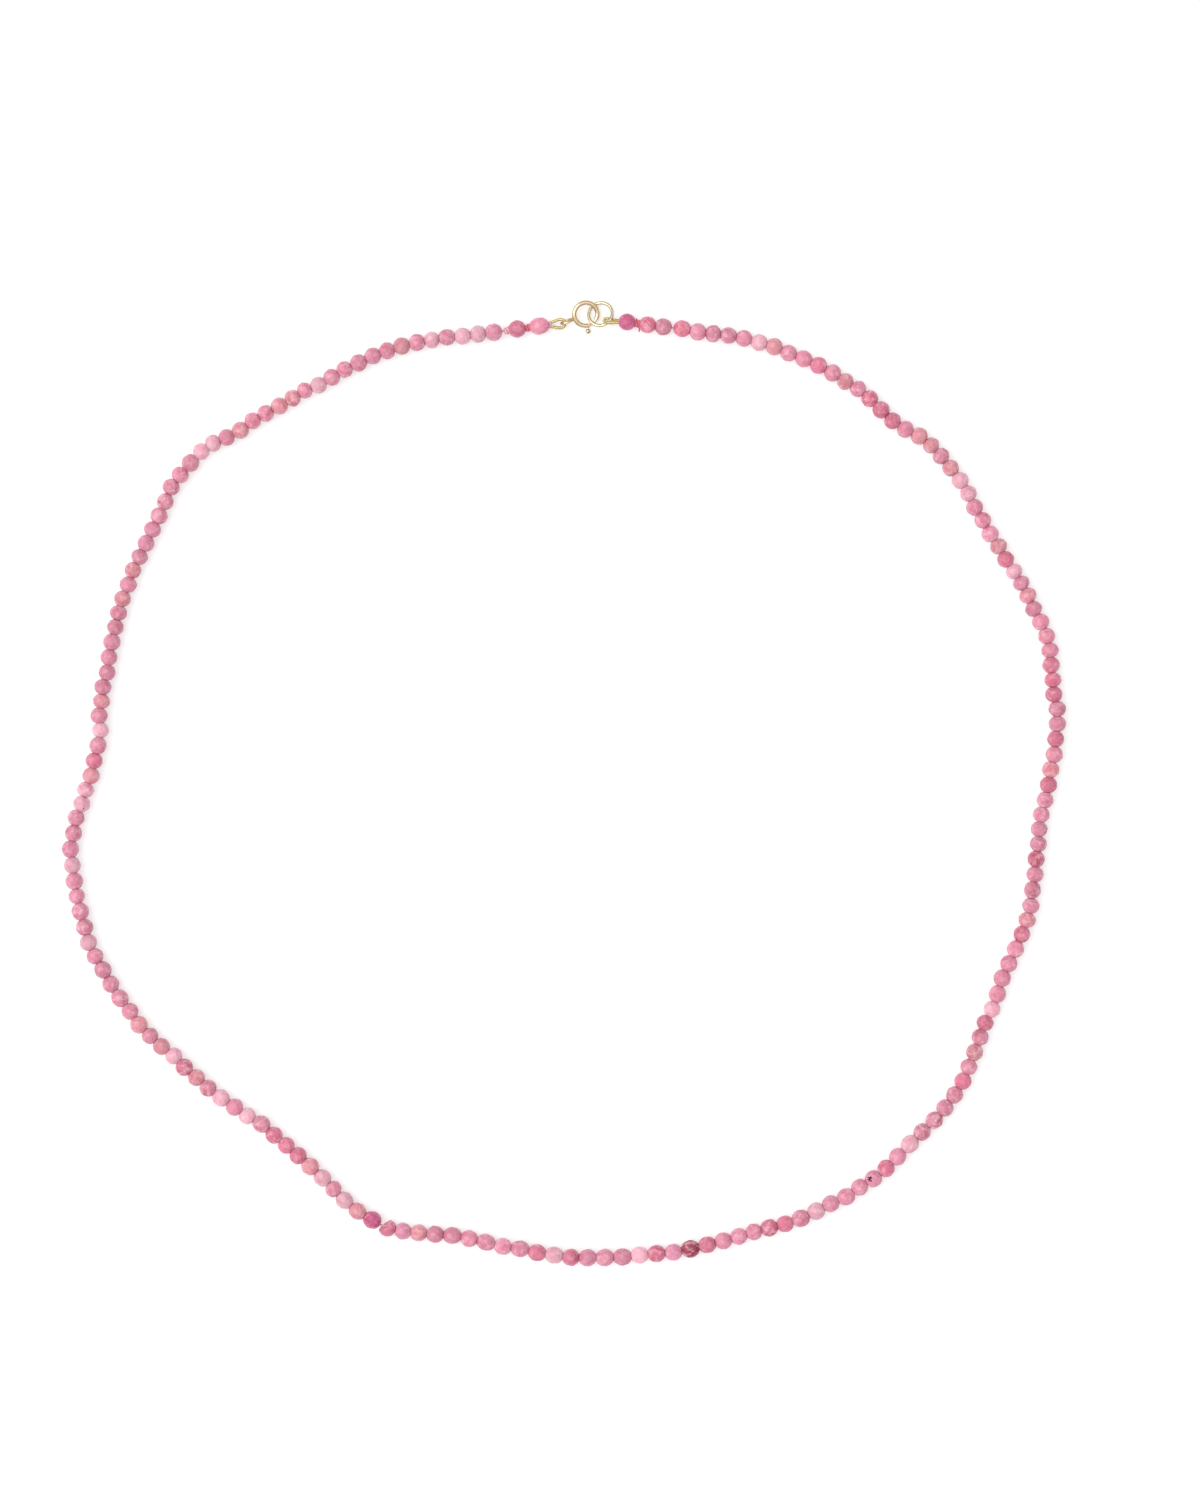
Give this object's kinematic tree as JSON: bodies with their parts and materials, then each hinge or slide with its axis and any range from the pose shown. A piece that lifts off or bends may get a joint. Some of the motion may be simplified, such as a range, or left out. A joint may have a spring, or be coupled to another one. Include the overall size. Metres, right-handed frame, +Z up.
{
  "type": "beaded necklace",
  "caption": "Closed necklace of small faceted pink stone beads on knotted silk, with gimp loops and a gold spring ring clasp whose gate slides open.",
  "frame": {"origin": "middle of the box round the lying loop, on the surface that it lies on", "axes": "+X to the jump ring's side of the loop, +Y to the clasp, +Z up from the surface"},
  "size_m": [0.1524, 0.1468, 0.0025],
  "materials": {
    "pink_stone": "polished translucent facets",
    "clasp_gold": "polished warm gold",
    "ring_gold": "polished pale gold",
    "gimp_gold": "fine coiled gold wire"
  },
  "bodies": {
    "necklace": {"bead_string_right": "pink_stone", "bead_string_left": "pink_stone", "gimp_loop_right": "gimp_gold", "gimp_loop_left": "gimp_gold", "jump_ring": "ring_gold", "clasp_case": "clasp_gold"},
    "gate": {"clasp_gate": "clasp_gold"}
  },
  "joints": [
    {"name": "gate_slide", "type": "hinge", "parent": "necklace", "child": "gate", "pos_m": [0.00334, 0.07127, 0.00088], "axis": [-0.1435, 0.2539, -0.9565], "range_deg": [0, 54], "stiffness_Nm_per_rad": 0.002}
  ]
}
